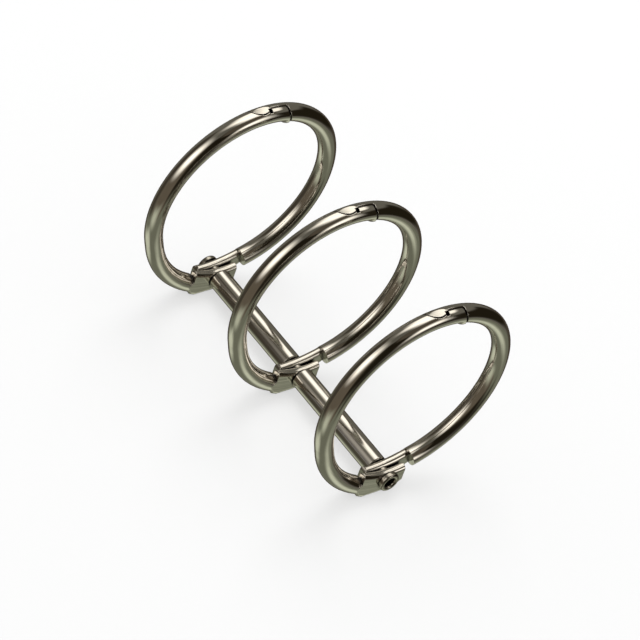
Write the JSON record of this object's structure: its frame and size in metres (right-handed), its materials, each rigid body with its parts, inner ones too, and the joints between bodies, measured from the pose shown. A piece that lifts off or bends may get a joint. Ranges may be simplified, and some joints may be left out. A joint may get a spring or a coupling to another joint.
{
  "type": "binder ring",
  "caption": "Hinged snap rings of round nickel-plated wire, riveted side by side on one hollow rod with spacer tubes between them, for holding punched sheets.",
  "frame": {"origin": "centre of the middle ring's hinge, on the axis of the rod", "axes": "+Y along the rod from the front ring to the back ring, +Z from the rod to the rings' closures, +X to the right halves"},
  "size_m": [0.036, 0.0522, 0.0384],
  "materials": {
    "plated_wire": "bright nickel plate on steel wire",
    "plated_tube": "bright nickel plate on steel tube"
  },
  "bodies": {
    "root": {"pivot": "plated_tube", "front_spacer": "plated_tube", "back_spacer": "plated_tube"},
    "front_ring": {"front_left_half": "plated_wire"},
    "front_gate": {"front_right_half": "plated_wire"},
    "middle_ring": {"middle_left_half": "plated_wire"},
    "middle_gate": {"middle_right_half": "plated_wire"},
    "back_ring": {"back_left_half": "plated_wire"},
    "back_gate": {"back_right_half": "plated_wire"}
  },
  "joints": [
    {"name": "front_swing", "type": "hinge", "parent": "root", "child": "front_ring", "pos_m": [0, -0.0238, 0], "axis": [0, 1, 0], "continuous": true},
    {"name": "front_open", "type": "hinge", "parent": "front_ring", "child": "front_gate", "pos_m": [0, -0.0238, 0], "axis": [0, 1, 0], "range_deg": [0, 150]},
    {"name": "middle_swing", "type": "hinge", "parent": "root", "child": "middle_ring", "pos_m": [0, 0, 0], "axis": [0, 1, 0], "continuous": true},
    {"name": "middle_open", "type": "hinge", "parent": "middle_ring", "child": "middle_gate", "pos_m": [0, 0, 0], "axis": [0, 1, 0], "range_deg": [0, 150]},
    {"name": "back_swing", "type": "hinge", "parent": "root", "child": "back_ring", "pos_m": [0, 0.0238, 0], "axis": [0, 1, 0], "continuous": true},
    {"name": "back_open", "type": "hinge", "parent": "back_ring", "child": "back_gate", "pos_m": [0, 0.0238, 0], "axis": [0, 1, 0], "range_deg": [0, 150]}
  ]
}
